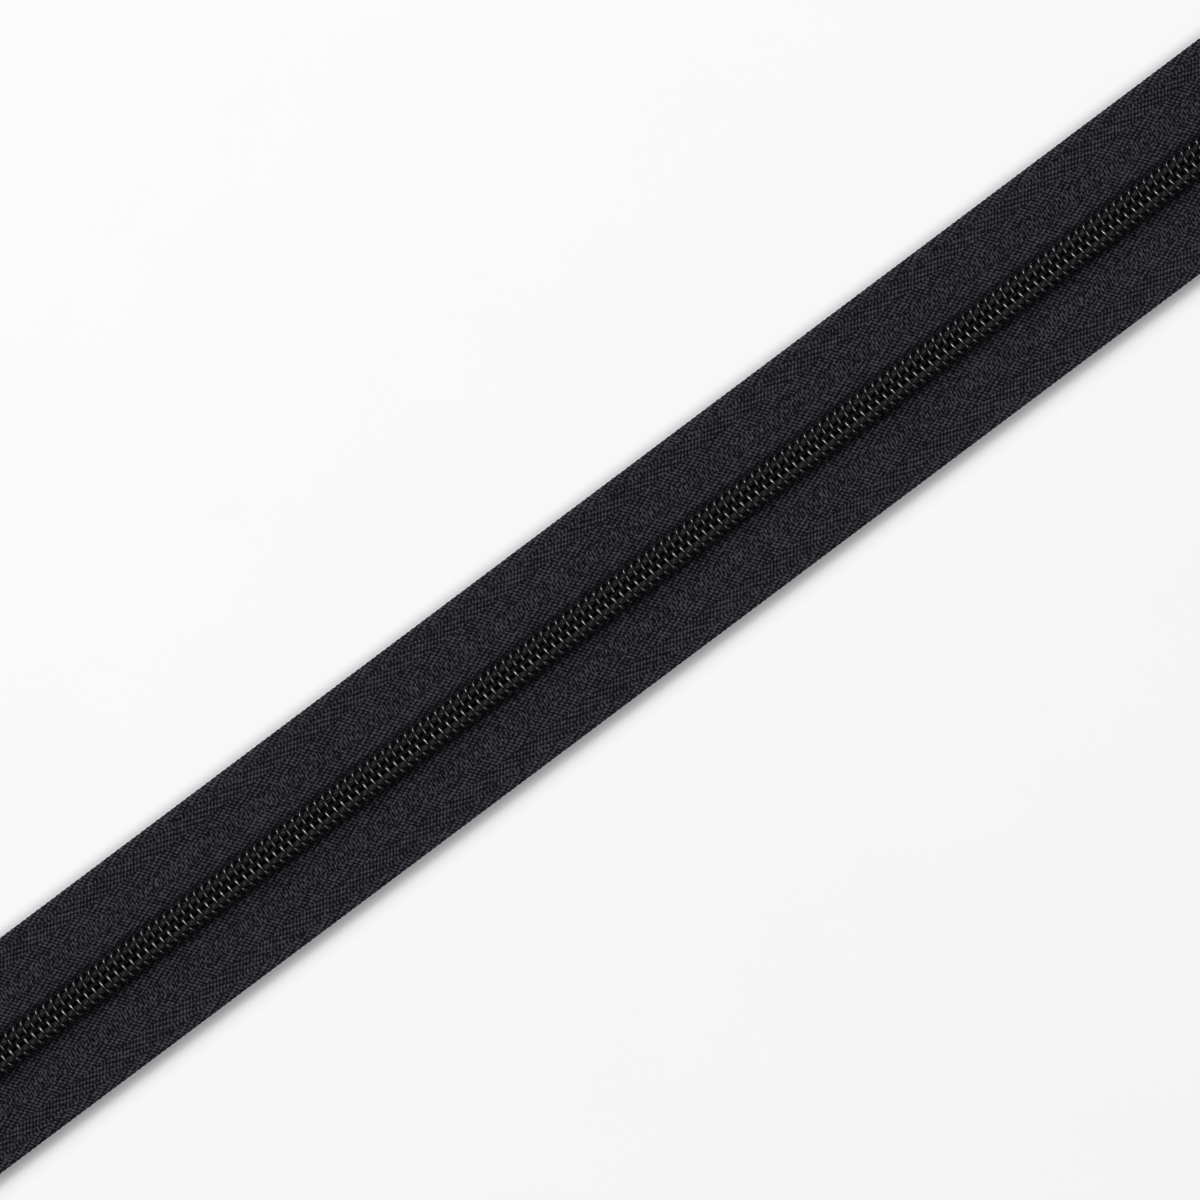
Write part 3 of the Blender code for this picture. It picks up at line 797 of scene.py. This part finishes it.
def wearGroup():
    # grain, cloudy patches and the rubbed places between them, from fine, coarse and middling noise
    group, ins, outs = newGroup(
        "rubbedFinish",
        [("Vector", "NodeSocketVector")],
        [(label, "NodeSocketFloat") for label in ("Patch", "Grain", "Rub")],
    )
    coarse = noise(group, ins["Vector"], 420.0, 4.0, 0.6)
    fine = noise(group, ins["Vector"], 4200.0, 2.0, 0.6)
    middling = noise(group, ins["Vector"], 1500.0, 3.0, 0.6)
    group.links.new(ramp(group, calc(group, "MULTIPLY_ADD", fine, 0.3, coarse), 0.62, 0.85), outs["Patch"])
    group.links.new(fine, outs["Grain"])
    group.links.new(ramp(group, calc(group, "MULTIPLY_ADD", coarse, 0.6, middling), 0.70, 1.0), outs["Rub"])
    return group


wear = wearGroup()


def grained(tree, shader, grain, roughness):
    # grain in the roughness and the relief of a metal or lacquered face
    tree.links.new(ramp(tree, grain, 0.3, 0.7, *roughness), shader.inputs["Roughness"])
    bump(tree, shader, grain, 0.15, 0.02)


def metalMaterial(name, dark, pale, metallic, roughness):
    finish, tree, shader = newMaterial(name, {"Metallic": metallic, "Specular IOR Level": 0.5})
    node = useGroup(tree, wear, coordinates(tree, "Object"))
    tree.links.new(mixColour(tree, node.outputs["Patch"], dark, pale), shader.inputs["Base Color"])
    grained(tree, shader, node.outputs["Grain"], roughness)
    return finish


def wornMaterial(name, coat, bare, roughness):
    # the coat thins out along an edge and the metal under it shows in places
    thinnest = 0.75
    finish, tree, shader = newMaterial(name, {"Specular IOR Level": 0.5})
    node = useGroup(tree, wear, coordinates(tree, "Object"))
    thin = calc(tree, "MULTIPLY", node.outputs["Rub"], thinnest)
    tree.links.new(mixColour(tree, thin, coat, bare), shader.inputs["Base Color"])
    tree.links.new(ramp(tree, thin, 0.0, thinnest), shader.inputs["Metallic"])
    grained(tree, shader, node.outputs["Grain"], roughness)
    return finish


zinc = (0.20, 0.195, 0.19, 1)
lacquer = metalMaterial(
    "black_lacquer", (0.012, 0.012, 0.013, 1), (0.026, 0.025, 0.026, 1), 0.0, (0.24, 0.40)
)
lacquerEdge = wornMaterial("rubbed_lacquer", (0.018, 0.018, 0.019, 1), zinc, (0.26, 0.40))
gunmetal = metalMaterial("gunmetal", (0.070, 0.070, 0.076, 1), (0.12, 0.12, 0.125, 1), 1.0, (0.32, 0.46))
steel = metalMaterial("spring_steel", (0.42, 0.42, 0.43, 1), (0.58, 0.57, 0.56, 1), 1.0, (0.26, 0.40))
# CAD node, piece, finish, finish of its edges, width of their bevel, body and slot
metalPieces = [
    ("slider_body", "slider_wings", lacquer, lacquerEdge, 0.35, "slider", "slider"),
    ("slider_crown", "slider_cap", lacquer, lacquerEdge, 0.30, "slider", "slider"),
    ("lock_spring", "lock_leaf", steel, steel, 0.06, "lock", "spring"),
    ("pull_tab", "pull_plate", lacquer, lacquerEdge, 0.25, "pull", "pull"),
]
for node, name, finish, edgeFinish, width, body, slotName in metalPieces:
    piece = addPiece(name, metalCopy(node, name), finish, body, node)
    breakEdges(piece, width, edgeFinish)
print("slider and pull finished")


# Stops: strips of sheet metal bent round the coils and clinched under the tapes
clip = {
    "metal": 0.5,
    "bend": 0.75,
    "bendSteps": 9,
    "foot": 2.2,  # from the bottom stop's side to the end of each foot
    "lip": 2.15,
    "around": 32,
    "power": 7.0,
}


def bentPath(corners, bend, steps):
    # straight runs between the corners, each corner turned by a quadratic curve that starts that far from it
    corners = np.array(corners, float)
    inward = corners[:-2] - corners[1:-1]
    onward = corners[2:] - corners[1:-1]
    inward *= bend / np.linalg.norm(inward, axis=1)[:, None]
    onward *= bend / np.linalg.norm(onward, axis=1)[:, None]
    share = np.linspace(0, 1, steps)[None, :, None]
    middle = corners[1:-1, None, :]
    arcs = middle + inward[:, None, :] * (1 - share) ** 2 + onward[:, None, :] * share**2
    return np.concatenate([corners[:1], arcs.reshape(-1, 2), corners[-1:]])


def clipRings(side, low, high, corners):
    # flat bar with rounded edges carried along its bent line, then laid on the stringer
    line = bentPath(corners, clip["bend"], clip["bendSteps"])
    path = np.stack([np.full(len(line), (low[0] + high[0]) / 2), line[:, 0], line[:, 1]], axis=-1)
    half = (high[0] - low[0]) / 2
    rings = tube(path, alongX, half, clip["metal"] / 2, clip["around"], clip["power"])
    return onStringer(side, rings[..., 0], rings[..., 1], rings[..., 2])


low, high = nodeBox("bottom_stop")
inset = clip["metal"] / 2
wide, roof, base = high[1] - inset, high[2] - inset, low[2] + inset
foot = high[1] - clip["foot"]
corners = [(foot, base), (wide, base), (wide, roof), (-wide, roof), (-wide, base), (-foot, base)]
mesh = skin("bottom_clip", clipRings(sides["left"], low, high, corners))
addPiece("bottom_clip", mesh, gunmetal, "chain", "bottom_stop")
for label, side in sides.items():
    name = f"{label}_top_clip"
    node = f"{label}_top_stop"
    low, high = nodeBox(node)
    near = min(abs(low[1]), abs(high[1])) - spread(low[0]) + inset
    corners = [(wide + inset, base), (near, base), (near, roof), (wide, roof), (wide, clip["lip"])]
    addStringerPiece(name, skin(name, clipRings(side, low, high, corners)), gunmetal, node)
print("stops clinched")


# Floor, lights and camera, in metres; the lights look at the origin
studio = {
    "floor": 0.92,
    "floorShade": 0.995,
    "floorReach": 12.0,
    "horizon": 0.16,
    "zenith": 0.04,
    "paleBand": 0.35,  # sine of the elevation where the sky is down to its overhead level
    "lens": 211.3,
    "sensor": 36,
    "cameraPlace": (-0.0034, 0.00081, 1.2),
    "cameraTurn": -math.atan2(0.6, 0.8),
}
lamps = {
    "low": {"place": (-0.37, 2.63, 1.40), "power": 20.5, "size": (0.9, 0.63)},
    "key": {"place": (-0.30, 2.16, 2.05), "power": 51.5, "size": (0.5, 0.99)},
    "high": {"place": (-0.19, 1.36, 2.67), "power": 17.0, "size": (0.5, 1.04)},
    "fill": {"place": (0.35, -1.56, 2.53), "power": 36.0, "size": (0.7, 2.05)},
}


def floorPlane():
    mesh = bpy.data.meshes.new("floor")
    reach = studio["floorReach"]
    corners = [(-reach, -reach, 0), (reach, -reach, 0), (reach, reach, 0), (-reach, reach, 0)]
    mesh.from_pydata(corners, [], [(0, 1, 2, 3)])
    finish, tree, shader = newMaterial("pale_paper", {"Roughness": 0.9, "Specular IOR Level": 0.1})
    level = studio["floor"]
    dim = level * studio["floorShade"]
    shade = ramp(tree, noise(tree, coordinates(tree, "Object"), 40.0), 0.3, 0.7)
    paper = mixColour(tree, shade, (dim, dim, dim, 1), (level, level, level, 1))
    tree.links.new(paper, shader.inputs["Base Color"])
    mesh.materials.append(finish)
    floor = bpy.data.objects.new("floor", mesh)
    bpy.context.scene.collection.objects.link(floor)


def areaLight(name, place, power, size):
    light = bpy.data.lights.new(name, "AREA")
    light.energy = power
    light.shape = "RECTANGLE"
    light.size, light.size_y = size
    lamp = bpy.data.objects.new(name, light)
    lamp.location = place
    lamp.rotation_euler = (-lamp.location).to_track_quat("-Z", "Y").to_euler()
    bpy.context.scene.collection.objects.link(lamp)


def skyWorld():
    # pale at the horizon, dim overhead
    world = bpy.data.worlds.new("studio")
    bpy.context.scene.world = world
    world.use_nodes = True
    tree = world.node_tree
    height = separate(tree, coordinates(tree, "Generated"))["Z"]
    level = ramp(tree, height, 0.0, studio["paleBand"], studio["horizon"], studio["zenith"])
    background = tree.nodes["Background"]
    background.inputs["Color"].default_value = (1, 1, 1, 1)
    tree.links.new(level, background.inputs["Strength"])


def overheadCamera():
    data = bpy.data.cameras.new("overhead")
    data.sensor_width = studio["sensor"]
    data.lens = studio["lens"]
    data.clip_start = 0.05
    camera = bpy.data.objects.new("overhead", data)
    camera.location = studio["cameraPlace"]
    camera.rotation_euler = (0, 0, studio["cameraTurn"])
    bpy.context.scene.collection.objects.link(camera)
    bpy.context.scene.camera = camera


floorPlane()
for name, lamp in lamps.items():
    areaLight(name, lamp["place"], lamp["power"], lamp["size"])
skyWorld()
overheadCamera()
bpy.context.scene.view_settings.view_transform = "Standard"
print("studio set")
